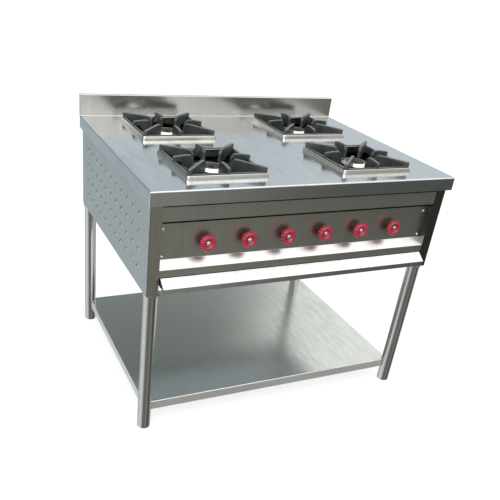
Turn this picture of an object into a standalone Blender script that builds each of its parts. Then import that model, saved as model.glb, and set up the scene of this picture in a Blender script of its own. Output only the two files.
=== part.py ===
"""A four-burner commercial gas range on an open stand, in metres, +Z up, +X to the right.

The origin is on the floor, under the middle of the range. The front faces -Y.
"""

import math

import bmesh
import bpy
from mathutils import Matrix, Vector

# Worktop and body
WIDTH = 1.150
DEPTH = 0.876
HEIGHT = 0.909
SHEET = 0.002
GAP = 0.0003
APRON = 0.0465
SIDE_SET_IN = 0.010
FRONT_SET_IN = 0.020
BACK_SET_IN = 0.011
BODY_X = WIDTH / 2 - SIDE_SET_IN
BODY_FRONT = -DEPTH / 2 + FRONT_SET_IN
BODY_BACK = DEPTH / 2 - BACK_SET_IN
BODY_BOTTOM = 0.5495
BODY_TOP = HEIGHT - SHEET - GAP
SPLASH_RISE = 0.082
SPLASH_THICK = 0.017
POST_WIDTH = 0.0405
POST_RETURN = 0.014
LEG_FLANGE = 0.050
BACK_HEM = 0.015
CUT_REACH = 0.020

# Control panel, set back between the front posts, with a sloping ledge under it
RECESS = 0.026
PANEL_TOP = 0.862
HEADER_BOTTOM = 0.803
LEDGE_TOP = 0.6655
LEDGE_BOTTOM = 0.6405
PANEL_BOTTOM = 0.615
PANEL_Y = BODY_FRONT + RECESS
PANEL_HEM = 0.014
HEADER_HEM = 0.020

# Knobs and valves
KNOB_COUNT = 6
KNOB_PITCH = 0.1466
KNOB_Z = 0.7227
KNOB_RADIUS = 0.029
KNOB_THICK = 0.020
KNOB_PROUD = 0.011
KNOB_FRONT = BODY_FRONT - KNOB_PROUD
KNOB_DISH = 0.0112
DISH_FLOOR = 0.003
KNOB_BORE = 0.0050
NUT_RADIUS = 0.0088
NUT_SET_BACK = 0.003
SPINDLE_RADIUS = 0.0046
SPINDLE_SINK = 0.004
BUSH_RADIUS = 0.0105
BUSH_GAP = 0.0022
STEM_CLEARANCE = 0.001
BARREL_RADIUS = 0.012
MANIFOLD_RADIUS = 0.0135
MANIFOLD_Y = PANEL_Y + 0.070
MANIFOLD_X = 0.500
MANIFOLD_OVERHANG = 0.035
MANIFOLD_BEND = 0.030
PIPE_CLEARANCE = 0.0015
INLET_Z = KNOB_Z
INLET_WALL = 0.004
UNION_LENGTH = 0.030
HEXAGON_PROUD = 0.006
HEXAGON_SPAN = (0.002, 0.016)
FEED_RADIUS = 0.004
FEED_BEND = 0.012
FEED_Y = PANEL_Y + 0.030
PILOT_PLACE = (0.268, -0.004, 0.862)

# Burners: half spacing across, and the two rows' places
BURNER_X = 0.288
BURNER_ROWS = {"front": -0.217, "rear": 0.217}
WELL_SIZE = 0.283
WELL_RISE = 0.0145
WELL_FOOT = 0.004
WELL_LEDGE = 0.010
WELL_FLOOR = HEIGHT - 0.028
WELL_HOLE = 0.056
CAP_LOW = WELL_FLOOR + 0.004
CUP_RADIUS = 0.052
CUP_RIM = 0.014
CUP_DEPTH = 0.034
CAP_RADIUS = 0.049
CAP_BORE = 0.010
CAP_TOP = HEIGHT - 0.001
CAP_CHAMFER = (0.012, 0.009)
THROAT_RADIUS = 0.019
THROAT_LAP = 0.004
MIXER_RADIUS = 0.016
MIXER_LAP = 0.022
BELL_RADIUS = 0.021
BELL_LENGTH = 0.018
BELL_BORE = 0.011
BELL_BORE_DEPTH = 0.050
BELL_Y = -0.300
JET_GAP = 0.006
MIXER_Z = {"front": 0.815, "rear": 0.768}
RAIL_WIDTH = 0.030
RAIL_THICK = 0.004
RAIL_DROP = 0.0195

# Pan supports: a low ring, eight fins and a flat square frame that lies on the collar
FIN_THICK = 0.013
FIN_TOP = HEIGHT + 0.034
FIN_REACH = {"corner": 0.193, "side": 0.139}
FIN_INNER = 0.065
RING_INNER = 0.063
RING_OUTER = 0.076
RING_LOW = HEIGHT - 0.022
RING_THICK = 0.010
FRAME_OUTER = 0.1385
FRAME_INNER = 0.1305
FRAME_THICK = 0.0025
FRAME_LOW = HEIGHT + WELL_RISE + GAP

# Drip tray and its runners
TRAY_HALF = 0.514
TRAY_FLOOR = 0.5745
TRAY_RIM = 0.606
TRAY_BACK = 0.395
RUNNER_START = BODY_FRONT + 0.045
RUNNER_LEDGE = 0.012
RUNNER_RISE = 0.010
PULL_HALF = 0.520
PULL_TOP = 0.6125
PULL_REACH = 0.034
PULL_FOLD = 0.589
PULL_LIP = 0.5715
UPRIGHT_LOW = TRAY_FLOOR + 0.004

# Stand
LEG_RADIUS = 0.0235
LEG_X = BODY_X - LEG_RADIUS - 0.0015
LEG_ROWS = {"front": BODY_FRONT + LEG_RADIUS + 0.005, "rear": BODY_BACK - LEG_RADIUS}
LEG_WALL = 0.002
LEG_COLLAR = 0.0262
COLLAR_HEIGHT = 0.008
FOOT_HEIGHT = 0.028
PLUG_HEIGHT = 0.025
FOOT_FLAT = 0.020
SHELF_TOP = 0.097
SHELF_RIM = 0.036
SHELF_ENDS = (LEG_ROWS["front"] + 0.004, LEG_ROWS["rear"] + 0.006)

# Vents punched in the side panels
VENT_RADIUS = 0.0048
VENT_COLUMNS = 11
VENT_ROWS = 4
VENT_PITCH_Y = 0.065
VENT_PITCH_Z = 0.0605
VENT_TOP = 0.800
VENT_FIRST_Y = BODY_FRONT + 0.097

SIDES = {"left": -1, "right": 1}


def clear_scene():
    for obj in list(bpy.data.objects):
        bpy.data.objects.remove(obj, do_unlink=True)


def new_collection(name):
    collection = bpy.data.collections.new(name)
    bpy.context.scene.collection.children.link(collection)
    return collection


def new_material(name, colour, roughness, metallic):
    material = bpy.data.materials.new(name)
    material.use_nodes = True
    shader = material.node_tree.nodes["Principled BSDF"]
    shader.inputs["Base Color"].default_value = (*colour, 1.0)
    shader.inputs["Roughness"].default_value = roughness
    shader.inputs["Metallic"].default_value = metallic
    return material


clear_scene()
RANGE = new_collection("commercial_gas_range")
HELPERS = new_collection("cutters")

STAINLESS = new_material("stainless_steel", (0.55, 0.56, 0.55), 0.28, 1.0)
POLISHED = new_material("polished_steel", (0.68, 0.69, 0.68), 0.12, 1.0)
CAST_IRON = new_material("cast_iron", (0.045, 0.05, 0.052), 0.62, 0.3)
RED_PLASTIC = new_material("red_plastic", (0.55, 0.015, 0.03), 0.30, 0.0)
BRASS = new_material("brass", (0.65, 0.47, 0.20), 0.30, 1.0)
PIPE_STEEL = new_material("pipe_steel", (0.22, 0.22, 0.21), 0.45, 1.0)


def add_mesh(name, mesh, collection=RANGE):
    obj = bpy.data.objects.new(name, mesh)
    collection.objects.link(obj)
    return obj


def helper(obj):
    """Marks a cutter or a guide, which isn't part of the range."""
    for collection in list(obj.users_collection):
        collection.objects.unlink(obj)
    HELPERS.objects.link(obj)
    obj.hide_render = True
    obj.display_type = "WIRE"
    return obj


def dress(obj, material):
    obj.data.materials.clear()
    obj.data.materials.append(material)
    return obj


def box(name, low, high):
    low, high = Vector(low), Vector(high)
    shape = bmesh.new()
    size = Matrix.Diagonal((*(high - low), 1.0))
    bmesh.ops.create_cube(shape, size=1.0, matrix=Matrix.Translation((low + high) / 2) @ size)
    mesh = bpy.data.meshes.new(name)
    shape.to_mesh(mesh)
    shape.free()
    return add_mesh(name, mesh)


def open_box(name, low, high):
    """A box of sheet with no bottom: top and four walls."""
    obj = box(name, low, high)
    shape = bmesh.new()
    shape.from_mesh(obj.data)
    bottom = [face for face in shape.faces if face.normal.z < -0.5]
    bmesh.ops.delete(shape, geom=bottom, context="FACES_ONLY")
    shape.to_mesh(obj.data)
    shape.free()
    thicken(obj)
    return obj


def thicken(obj, thickness=SHEET):
    modifier = obj.modifiers.new("thickness", "SOLIDIFY")
    modifier.thickness = thickness
    modifier.offset = -1.0
    modifier.use_even_offset = True


def rod(name, start, end, radius, sides):
    """A round or many-sided bar from start to end."""
    start, end = Vector(start), Vector(end)
    along = end - start
    shape = bmesh.new()
    bmesh.ops.create_cone(
        shape,
        cap_ends=True,
        segments=sides,
        radius1=radius,
        radius2=radius,
        depth=along.length,
        matrix=Matrix.Translation((start + end) / 2) @ along.to_track_quat("Z", "Y").to_matrix().to_4x4(),
    )
    mesh = bpy.data.meshes.new(name)
    shape.to_mesh(mesh)
    shape.free()
    return add_mesh(name, mesh)


def folded(name, profile, half_width):
    """A folded sheet: the (y, z) profile of its outer face, drawn out along X."""
    points = [(x, y, z) for y, z in profile for x in (-half_width, half_width)]
    faces = [(2 * i, 2 * i + 1, 2 * i + 3, 2 * i + 2) for i in range(len(profile) - 1)]
    mesh = bpy.data.meshes.new(name)
    mesh.from_pydata(points, [], faces)
    obj = add_mesh(name, mesh)
    thicken(obj)
    return obj


def turned(name, profile, steps, closed=False):
    """A turned piece about its own Z axis: the (radius, z) profile, from the top down its outer side."""
    count = len(profile)
    edges = [(i, i + 1) for i in range(count - 1)]
    if closed:
        edges.append((count - 1, 0))
    mesh = bpy.data.meshes.new(name)
    mesh.from_pydata([(r, 0.0, z) for r, z in profile], edges, [])
    obj = add_mesh(name, mesh)
    screw = obj.modifiers.new("turn", "SCREW")
    screw.steps = steps
    screw.render_steps = steps
    screw.use_merge_vertices = True
    screw.merge_threshold = 0.00005
    return obj


def rounded(points, radius, arc_steps=2):
    """The path with each corner replaced by an arc of the given radius."""
    points = [Vector(p) for p in points]
    path = [points[0]]
    for before, corner, after in zip(points, points[1:], points[2:]):
        inward = (before - corner).normalized()
        outward = (after - corner).normalized()
        for step in range(arc_steps + 1):
            t = step / arc_steps
            path.append(corner + inward * radius * (1 - t) ** 2 + outward * radius * t**2)
    path.append(points[-1])
    return path


def pipe(name, points, radius, resolution=2):
    """A round pipe along a path, as a mesh."""
    curve = bpy.data.curves.new(name, "CURVE")
    curve.dimensions = "3D"
    curve.bevel_depth = radius
    curve.bevel_resolution = resolution
    curve.use_fill_caps = True
    spline = curve.splines.new("POLY")
    spline.points.add(len(points) - 1)
    for point, place in zip(spline.points, points):
        point.co = (*place, 1.0)
    return as_mesh(add_mesh(name, curve))


def outline(name, points, thickness):
    """A flat plate from its (x, y) outline, lying on the XY plane and thickened about it."""
    curve = bpy.data.curves.new(name, "CURVE")
    curve.dimensions = "2D"
    curve.fill_mode = "BOTH"
    curve.extrude = thickness / 2
    spline = curve.splines.new("POLY")
    spline.points.add(len(points) - 1)
    for point, place in zip(spline.points, points):
        point.co = (*place, 0.0, 1.0)
    spline.use_cyclic_u = True
    return as_mesh(add_mesh(name, curve))


def evaluated_mesh(obj):
    bpy.context.view_layer.update()
    graph = bpy.context.evaluated_depsgraph_get()
    return bpy.data.meshes.new_from_object(obj.evaluated_get(graph))


def as_mesh(obj):
    """The object as the viewport shows it, with no modifiers and its doubles merged."""
    mesh = evaluated_mesh(obj)
    shape = bmesh.new()
    shape.from_mesh(mesh)
    bmesh.ops.remove_doubles(shape, verts=shape.verts, dist=0.000002)
    bmesh.ops.recalc_face_normals(shape, faces=shape.faces)
    shape.to_mesh(mesh)
    shape.free()
    name, place = obj.name, obj.matrix_world.copy()
    bpy.data.objects.remove(obj, do_unlink=True)
    made = add_mesh(name, mesh)
    made.matrix_world = place
    return made


def gather(name, pieces):
    """One mesh object of several closed shapes that don't touch each other."""
    shape = bmesh.new()
    for piece in pieces:
        mesh = evaluated_mesh(piece)
        mesh.transform(piece.matrix_world)
        shape.from_mesh(mesh)
        bpy.data.objects.remove(piece, do_unlink=True)
    mesh = bpy.data.meshes.new(name)
    shape.to_mesh(mesh)
    shape.free()
    return add_mesh(name, mesh)


def cut(obj, cutter, operation="DIFFERENCE"):
    modifier = obj.modifiers.new(operation.lower(), "BOOLEAN")
    modifier.operation = operation
    modifier.solver = "EXACT"
    modifier.object = helper(cutter)


def join(obj, *others):
    for other in others:
        cut(obj, other, "UNION")
    return obj


def smooth(obj, angle=40.0):
    obj.data.shade_smooth()
    obj.data.set_sharp_from_angle(angle=math.radians(angle))


def burner_places():
    for row, y in BURNER_ROWS.items():
        for side, sign in SIDES.items():
            yield f"{row}_{side}", row, (sign * BURNER_X, y)


def knob_places():
    first = -KNOB_PITCH * (KNOB_COUNT - 1) / 2
    return [first + KNOB_PITCH * i for i in range(KNOB_COUNT)]


def make_worktop():
    """The top sheet with its apron, and four square openings for the burner wells."""
    top = open_box(
        "worktop",
        (-WIDTH / 2, -DEPTH / 2, HEIGHT - APRON),
        (WIDTH / 2, DEPTH / 2, HEIGHT),
    )
    half = WELL_SIZE / 2 + GAP - SHEET
    for place, _, (x, y) in burner_places():
        opening = box(
            f"opening_{place}",
            (x - half, y - half, HEIGHT - CUT_REACH),
            (x + half, y + half, HEIGHT + CUT_REACH),
        )
        cut(top, opening)
    dress(top, STAINLESS)
    back = DEPTH / 2
    splash = open_box(
        "backsplash",
        (-WIDTH / 2, back - SPLASH_THICK, HEIGHT + GAP),
        (WIDTH / 2, back, HEIGHT + SPLASH_RISE),
    )
    dress(splash, STAINLESS)


def make_posts():
    """Two front posts, folded to an L: the face on the front plane and a return along the recess."""
    for side, sign in SIDES.items():
        outer = BODY_X - SHEET - GAP
        inner = BODY_X - POST_WIDTH
        low = BODY_BOTTOM + SHEET + GAP
        face = box(
            f"front_post_{side}",
            (min(sign * outer, sign * inner), BODY_FRONT, low),
            (max(sign * outer, sign * inner), BODY_FRONT + SHEET, BODY_TOP),
        )
        edge = sign * (inner + SHEET)
        web = box(
            f"post_return_{side}",
            (min(sign * inner, edge), BODY_FRONT + SHEET / 2, PULL_TOP + GAP),
            (max(sign * inner, edge), PANEL_Y + POST_RETURN, BODY_TOP),
        )
        dress(join(face, web), STAINLESS)


def make_side_panels():
    """Two side sheets with a flange turned in at the bottom, and a grid of punched vents."""
    for side, sign in SIDES.items():
        outer = sign * BODY_X
        inner = sign * (BODY_X - SHEET)
        panel = box(
            f"side_panel_{side}",
            (min(outer, inner), BODY_FRONT, BODY_BOTTOM),
            (max(outer, inner), BODY_BACK, BODY_TOP),
        )
        tip = sign * (BODY_X - LEG_FLANGE)
        start = sign * (BODY_X - SHEET / 2)
        flange = box(
            f"bottom_flange_{side}",
            (min(start, tip), BODY_FRONT, BODY_BOTTOM),
            (max(start, tip), BODY_BACK, BODY_BOTTOM + SHEET),
        )
        join(panel, flange)
        start = outer - sign * CUT_REACH
        end = outer + sign * CUT_REACH
        punches = []
        for row in range(VENT_ROWS):
            for column in range(VENT_COLUMNS):
                y = VENT_FIRST_Y + column * VENT_PITCH_Y
                z = VENT_TOP - row * VENT_PITCH_Z
                punches.append(rod("punch", (start, y, z), (end, y, z), VENT_RADIUS, 6))
        cut(panel, gather(f"vent_punches_{side}", punches))
        dress(panel, STAINLESS)


def make_front():
    """The header rail and the control panel, between the front posts."""
    half = BODY_X - POST_WIDTH - GAP
    front = BODY_FRONT
    header = folded(
        "front_header_rail",
        [(front + HEADER_HEM, HEADER_BOTTOM), (front, HEADER_BOTTOM), (front, BODY_TOP)],
        half,
    )
    dress(header, STAINLESS)
    panel = folded(
        "control_panel",
        [
            (front + PANEL_HEM, PANEL_BOTTOM),
            (front, PANEL_BOTTOM),
            (front, LEDGE_BOTTOM),
            (PANEL_Y, LEDGE_TOP),
            (PANEL_Y, PANEL_TOP),
        ],
        half,
    )
    holes = [
        rod(
            "stem_hole",
            (x, PANEL_Y - CUT_REACH, KNOB_Z),
            (x, PANEL_Y + CUT_REACH, KNOB_Z),
            SPINDLE_RADIUS + STEM_CLEARANCE,
            16,
        )
        for x in knob_places()
    ]
    cut(panel, gather("stem_holes", holes))
    dress(panel, STAINLESS)


def make_back_panel():
    half = BODY_X - SHEET - GAP
    low = BODY_BOTTOM + SHEET + GAP
    panel = folded(
        "back_panel",
        [(BODY_BACK, BODY_TOP), (BODY_BACK, low), (BODY_BACK - BACK_HEM, low)],
        half,
    )
    hole = rod(
        "inlet_hole",
        (MANIFOLD_X, BODY_BACK - CUT_REACH, INLET_Z),
        (MANIFOLD_X, BODY_BACK + CUT_REACH, INLET_Z),
        MANIFOLD_RADIUS + PIPE_CLEARANCE,
        24,
    )
    cut(panel, hole)
    dress(panel, STAINLESS)


def make_drip_tray():
    """A shallow tray whose front is a sloping pull with a turned-down lip."""
    front = BODY_FRONT
    pan = box("drip_tray", (-TRAY_HALF, front, TRAY_FLOOR), (TRAY_HALF, TRAY_BACK, TRAY_RIM))
    hollow = box(
        "tray_hollow",
        (-TRAY_HALF + SHEET, front + SHEET, TRAY_FLOOR + SHEET),
        (TRAY_HALF - SHEET, TRAY_BACK - SHEET, TRAY_RIM + CUT_REACH),
    )
    cut(pan, hollow)
    pull = folded(
        "tray_pull",
        [
            (front - PULL_REACH, PULL_LIP),
            (front - PULL_REACH, PULL_FOLD),
            (front, PULL_TOP),
            (front + SHEET, PULL_TOP),
        ],
        PULL_HALF,
    )
    upright = box(
        "pull_upright",
        (-PULL_HALF, front, UPRIGHT_LOW),
        (PULL_HALF, front + SHEET - GAP, PULL_TOP - SHEET / 2),
    )
    join(pan, upright, pull)
    dress(pan, POLISHED)
    for side, sign in SIDES.items():
        wall = sign * (BODY_X - SHEET - GAP)
        inner = sign * (TRAY_HALF - RUNNER_LEDGE)
        web = sign * (BODY_X - 2 * SHEET - GAP)
        runner = box(
            f"tray_runner_{side}",
            (min(wall, inner), RUNNER_START, TRAY_FLOOR - GAP - SHEET),
            (max(wall, inner), TRAY_BACK, TRAY_FLOOR - GAP),
        )
        upstand = box(
            f"runner_web_{side}",
            (min(wall, web), RUNNER_START, TRAY_FLOOR - GAP - SHEET),
            (max(wall, web), TRAY_BACK, TRAY_RIM + RUNNER_RISE),
        )
        dress(join(runner, upstand), STAINLESS)


def make_stand():
    """Four tube legs with collars and rounded feet, and the shelf between them."""
    top = BODY_BOTTOM - GAP
    collar_low = top - COLLAR_HEIGHT
    leg = turned(
        "leg",
        [
            (LEG_COLLAR, top),
            (LEG_COLLAR, collar_low),
            (LEG_RADIUS, collar_low - 0.001),
            (LEG_RADIUS, FOOT_HEIGHT),
            (LEG_RADIUS - LEG_WALL, FOOT_HEIGHT),
            (LEG_RADIUS - LEG_WALL, top),
        ],
        24,
        closed=True,
    )
    leg = as_mesh(leg)
    smooth(leg)
    plug = LEG_RADIUS - LEG_WALL - GAP
    shoulder = FOOT_HEIGHT - GAP
    foot = turned(
        "foot",
        [
            (0.0, shoulder + PLUG_HEIGHT),
            (plug, shoulder + PLUG_HEIGHT),
            (plug, shoulder),
            (LEG_RADIUS, shoulder),
            (LEG_RADIUS, 0.006),
            (LEG_RADIUS - 0.0015, 0.0015),
            (FOOT_FLAT, 0.0),
            (0.0, 0.0),
        ],
        20,
    )
    foot = as_mesh(foot)
    smooth(foot)
    for row, y in LEG_ROWS.items():
        for side, sign in SIDES.items():
            for source, material in ((leg, STAINLESS), (foot, POLISHED)):
                copy = add_mesh(f"{source.name}_{row}_{side}", source.data.copy())
                copy.location = (sign * LEG_X, y, 0.0)
                dress(copy, material)
    shelf = open_box(
        "undershelf",
        (-LEG_X, SHELF_ENDS[0], SHELF_TOP - SHELF_RIM),
        (LEG_X, SHELF_ENDS[1], SHELF_TOP),
    )
    for y in LEG_ROWS.values():
        for sign in SIDES.values():
            low = SHELF_TOP - SHELF_RIM - CUT_REACH
            notch = rod(
                "leg_notch",
                (sign * LEG_X, y, low),
                (sign * LEG_X, y, SHELF_TOP + CUT_REACH),
                LEG_RADIUS + GAP,
                24,
            )
            cut(shelf, notch)
    dress(shelf, STAINLESS)
    for spare in (leg, foot):
        bpy.data.objects.remove(spare, do_unlink=True)


def make_knobs():
    """Ring-shaped knobs on spindles that carry a bush behind them and a hex nut in their dish."""
    mid = KNOB_THICK / 2
    ring = (KNOB_RADIUS - KNOB_DISH) / 2
    crown = KNOB_DISH + ring
    knob_profile = [(KNOB_BORE, DISH_FLOOR), (KNOB_DISH, DISH_FLOOR)]
    for degrees in (140, 110, 80, 50, 20):
        angle = math.radians(degrees)
        knob_profile.append((crown + ring * math.cos(angle), mid * math.sin(angle)))
    knob_profile += [(KNOB_RADIUS, -mid * 0.4), (KNOB_RADIUS - 0.004, -mid), (KNOB_BORE, -mid)]
    knob = as_mesh(turned("knob", knob_profile, 20, closed=True))
    smooth(knob, 50.0)
    panel_front = KNOB_FRONT + mid - PANEL_Y
    spindle = turned(
        "spindle",
        [
            (0.0, mid - 0.001),
            (SPINDLE_RADIUS, mid - 0.001),
            (SPINDLE_RADIUS, -mid - GAP),
            (BUSH_RADIUS, -mid - GAP),
            (BUSH_RADIUS, panel_front + BUSH_GAP),
            (SPINDLE_RADIUS, panel_front + BUSH_GAP),
            (SPINDLE_RADIUS, panel_front - SPINDLE_SINK),
            (0.0, panel_front - SPINDLE_SINK),
        ],
        12,
    )
    nut = rod("nut", (0, 0, DISH_FLOOR + GAP), (0, 0, mid - NUT_SET_BACK), NUT_RADIUS, 6)
    spindle = as_mesh(join(spindle, nut))
    smooth(spindle)
    face_front = Matrix.Rotation(math.pi / 2, 4, "X")
    for number, x in enumerate(knob_places(), 1):
        place = Matrix.Translation((x, KNOB_FRONT + mid, KNOB_Z)) @ face_front
        for source, material in ((knob, RED_PLASTIC), (spindle, PIPE_STEEL)):
            copy = add_mesh(f"{source.name}_{number}", source.data.copy())
            copy.matrix_world = place
            dress(copy, material)
    for spare in (knob, spindle):
        bpy.data.objects.remove(spare, do_unlink=True)


def feed_route(number, x):
    """Where the outlet pipe of a valve runs: to a mixing tube's bell, or to a pilot between the burners."""
    sign = 1 if x > 0 else -1
    from_middle = number - 3 if x > 0 else 4 - number
    jet_y = BELL_Y - JET_GAP
    if from_middle == 1:
        pilot_x, pilot_y, high = PILOT_PLACE
        tip = (sign * pilot_x, pilot_y, high)
        return [(x, FEED_Y, KNOB_Z), (x, FEED_Y, high), (x, pilot_y, high), tip]
    row = "rear" if from_middle == 2 else "front"
    z = MIXER_Z[row]
    burner = sign * BURNER_X
    return [(x, FEED_Y, KNOB_Z), (x, FEED_Y, z), (burner, FEED_Y, z), (burner, jet_y, z)]


def make_gas_train():
    """The manifold with its inlet union, and six valves with their outlet pipes."""
    joint = BODY_BACK - UNION_LENGTH
    run = [
        (knob_places()[0] - MANIFOLD_OVERHANG, MANIFOLD_Y, KNOB_Z),
        (MANIFOLD_X, MANIFOLD_Y, KNOB_Z),
        (MANIFOLD_X, joint, INLET_Z),
    ]
    manifold = pipe("gas_manifold", rounded(run, MANIFOLD_BEND, 4), MANIFOLD_RADIUS, 4)
    smooth(manifold)
    dress(manifold, PIPE_STEEL)
    end = PULL_REACH - BODY_FRONT
    start = joint + GAP
    union = rod("inlet_union", (MANIFOLD_X, start, INLET_Z), (MANIFOLD_X, end, INLET_Z), MANIFOLD_RADIUS, 24)
    hexagon = rod(
        "inlet_hexagon",
        (MANIFOLD_X, start + HEXAGON_SPAN[0], INLET_Z),
        (MANIFOLD_X, start + HEXAGON_SPAN[1], INLET_Z),
        MANIFOLD_RADIUS + HEXAGON_PROUD,
        6,
    )
    join(union, hexagon)
    bore = rod(
        "inlet_bore",
        (MANIFOLD_X, BODY_BACK, INLET_Z),
        (MANIFOLD_X, end + CUT_REACH, INLET_Z),
        MANIFOLD_RADIUS - INLET_WALL,
        24,
    )
    cut(union, bore)
    smooth(union)
    dress(union, BRASS)
    for number, x in enumerate(knob_places(), 1):
        barrel_start = PANEL_Y + SHEET + GAP
        barrel_end = MANIFOLD_Y - MANIFOLD_RADIUS - GAP
        barrel = rod(f"valve_{number}", (x, barrel_start, KNOB_Z), (x, barrel_end, KNOB_Z), BARREL_RADIUS, 12)
        seat = rod(
            "spindle_seat",
            (x, PANEL_Y - CUT_REACH, KNOB_Z),
            (x, PANEL_Y + SPINDLE_SINK + 2 * GAP, KNOB_Z),
            SPINDLE_RADIUS + STEM_CLEARANCE / 2,
            16,
        )
        cut(barrel, seat)
        outlet = pipe("outlet", rounded(feed_route(number, x), FEED_BEND), FEED_RADIUS, 2)
        join(barrel, outlet)
        dress(barrel, BRASS)


def make_wells():
    """Square wells let into the worktop: a raised collar, a wall down through the opening, and a floor."""
    for place, _, (x, y) in burner_places():
        half = WELL_SIZE / 2
        foot = half + WELL_FOOT
        inner = half - SHEET - GAP
        base = HEIGHT + GAP
        top = HEIGHT + WELL_RISE
        well = box(f"burner_well_{place}", (x - inner, y - inner, WELL_FLOOR), (x + inner, y + inner, top))
        collar = box(f"collar_{place}", (x - foot, y - foot, base), (x + foot, y + foot, top))
        for vertex in (v for v in collar.data.vertices if v.co.z > base + WELL_RISE / 2):
            vertex.co.x = x + math.copysign(half, vertex.co.x - x)
            vertex.co.y = y + math.copysign(half, vertex.co.y - y)
        join(well, collar)
        mouth = inner - WELL_LEDGE
        hollow = box(
            f"well_hollow_{place}",
            (x - mouth, y - mouth, WELL_FLOOR + SHEET),
            (x + mouth, y + mouth, top + CUT_REACH),
        )
        cut(well, hollow)
        low, high = WELL_FLOOR - CUT_REACH, WELL_FLOOR + CUT_REACH
        cut(well, rod("burner_hole", (x, y, low), (x, y, high), WELL_HOLE, 24))
        dress(well, POLISHED)


def make_burners():
    """Cast burners: a cup on a throat with its mixing tube, a loose ported cap, and two rails under them."""
    cup = turned(
        "cup",
        [
            (0.0, CAP_LOW - GAP),
            (CUP_RADIUS, CAP_LOW - GAP),
            (CUP_RADIUS, CAP_LOW - CUP_RIM),
            (THROAT_RADIUS + 0.003, CAP_LOW - CUP_DEPTH),
            (0.0, CAP_LOW - CUP_DEPTH),
        ],
        24,
    )
    cup = as_mesh(cup)
    cap = turned(
        "cap",
        [
            (CAP_BORE, CAP_TOP - 0.006),
            (CAP_RADIUS - CAP_CHAMFER[0] - 0.004, CAP_TOP - 0.002),
            (CAP_RADIUS - CAP_CHAMFER[0], CAP_TOP),
            (CAP_RADIUS, CAP_TOP - CAP_CHAMFER[1]),
            (CAP_RADIUS, CAP_LOW),
            (CAP_BORE, CAP_LOW),
        ],
        24,
        closed=True,
    )
    cap = as_mesh(cap)
    smooth(cap)
    for place, row, (x, y) in burner_places():
        level = MIXER_Z[row]
        body = add_mesh(f"burner_body_{place}", cup.data.copy())
        body.location = (x, y, 0.0)
        throat_top = CAP_LOW - CUP_DEPTH + THROAT_LAP
        bore_start, bore_end = BELL_Y - CUT_REACH, BELL_Y + BELL_BORE_DEPTH
        throat = rod("throat", (x, y, level), (x, y, throat_top), THROAT_RADIUS, 16)
        mixer = rod("mixer", (x, BELL_Y, level), (x, y + MIXER_LAP, level), MIXER_RADIUS, 16)
        bell = rod("bell", (x, BELL_Y, level), (x, BELL_Y + BELL_LENGTH, level), BELL_RADIUS, 16)
        bore = rod("bell_bore", (x, bore_start, level), (x, bore_end, level), BELL_BORE, 16)
        join(body, throat, mixer, bell)
        cut(body, bore)
        dress(body, CAST_IRON)
        top = add_mesh(f"burner_cap_{place}", cap.data.copy())
        top.location = (x, y, 0.0)
        dress(top, CAST_IRON)
    for row, y in BURNER_ROWS.items():
        top = MIXER_Z[row] - RAIL_DROP
        reach = BODY_X - SHEET - GAP
        rail = box(
            f"burner_rail_{row}",
            (-reach, y - RAIL_WIDTH / 2, top - RAIL_THICK),
            (reach, y + RAIL_WIDTH / 2, top),
        )
        dress(rail, PIPE_STEEL)
    for spare in (cup, cap):
        bpy.data.objects.remove(spare, do_unlink=True)


def fin_outline(direction):
    """A fin from the side, as (distance out, height): outer end on the frame, inner end on the ring."""
    reach = FIN_REACH[direction]
    rest = FRAME_LOW + GAP
    stretch = math.sqrt(2) if direction == "corner" else 1.0
    ledge = (WELL_SIZE / 2 - WELL_LEDGE - SHEET) * stretch - 0.018
    return [
        (reach, rest),
        (reach, FIN_TOP - 0.002),
        (reach - 0.002, FIN_TOP),
        (FIN_INNER + 0.030, FIN_TOP + 0.004),
        (FIN_INNER + 0.012, FIN_TOP + 0.003),
        (FIN_INNER, FIN_TOP - 0.010),
        (FIN_INNER, RING_LOW + 0.003),
        (ledge, rest - 0.006),
        (ledge, rest),
    ]


def make_pan_supports():
    """Cast stars: four long fins to the corners and four short ones, on a low ring and a flat frame."""
    ring_top = RING_LOW + RING_THICK
    ring = turned(
        "pan_ring",
        [
            (RING_INNER, ring_top),
            (RING_OUTER, ring_top),
            (RING_OUTER, RING_LOW),
            (RING_INNER, RING_LOW),
        ],
        32,
        closed=True,
    )
    fins = []
    for count in range(8):
        fin = outline("fin", fin_outline("corner" if count % 2 else "side"), FIN_THICK)
        stand_up = Matrix.Rotation(math.pi / 2, 4, "X")
        fin.matrix_world = Matrix.Rotation(math.pi / 4 * count, 4, "Z") @ stand_up
        fins.append(fin)
    frame = box(
        "pan_frame",
        (-FRAME_OUTER, -FRAME_OUTER, FRAME_LOW),
        (FRAME_OUTER, FRAME_OUTER, FRAME_LOW + FRAME_THICK),
    )
    opening = box(
        "frame_opening",
        (-FRAME_INNER, -FRAME_INNER, FRAME_LOW - CUT_REACH),
        (FRAME_INNER, FRAME_INNER, FRAME_LOW + CUT_REACH),
    )
    cut(frame, opening)
    frame = as_mesh(frame)
    star = as_mesh(join(as_mesh(ring), gather("fins", fins), frame))
    for place, _, (x, y) in burner_places():
        support = add_mesh(f"pan_support_{place}", star.data.copy())
        support.location = (x, y, 0.0)
        dress(support, CAST_IRON)
    bpy.data.objects.remove(star, do_unlink=True)


make_worktop()
make_posts()
make_side_panels()
make_front()
make_back_panel()
make_drip_tray()
make_stand()
make_knobs()
make_gas_train()
make_wells()
make_burners()
make_pan_supports()
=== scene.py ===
import math

import bmesh
import bpy
import numpy as np
from mathutils import Matrix, Vector


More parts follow.
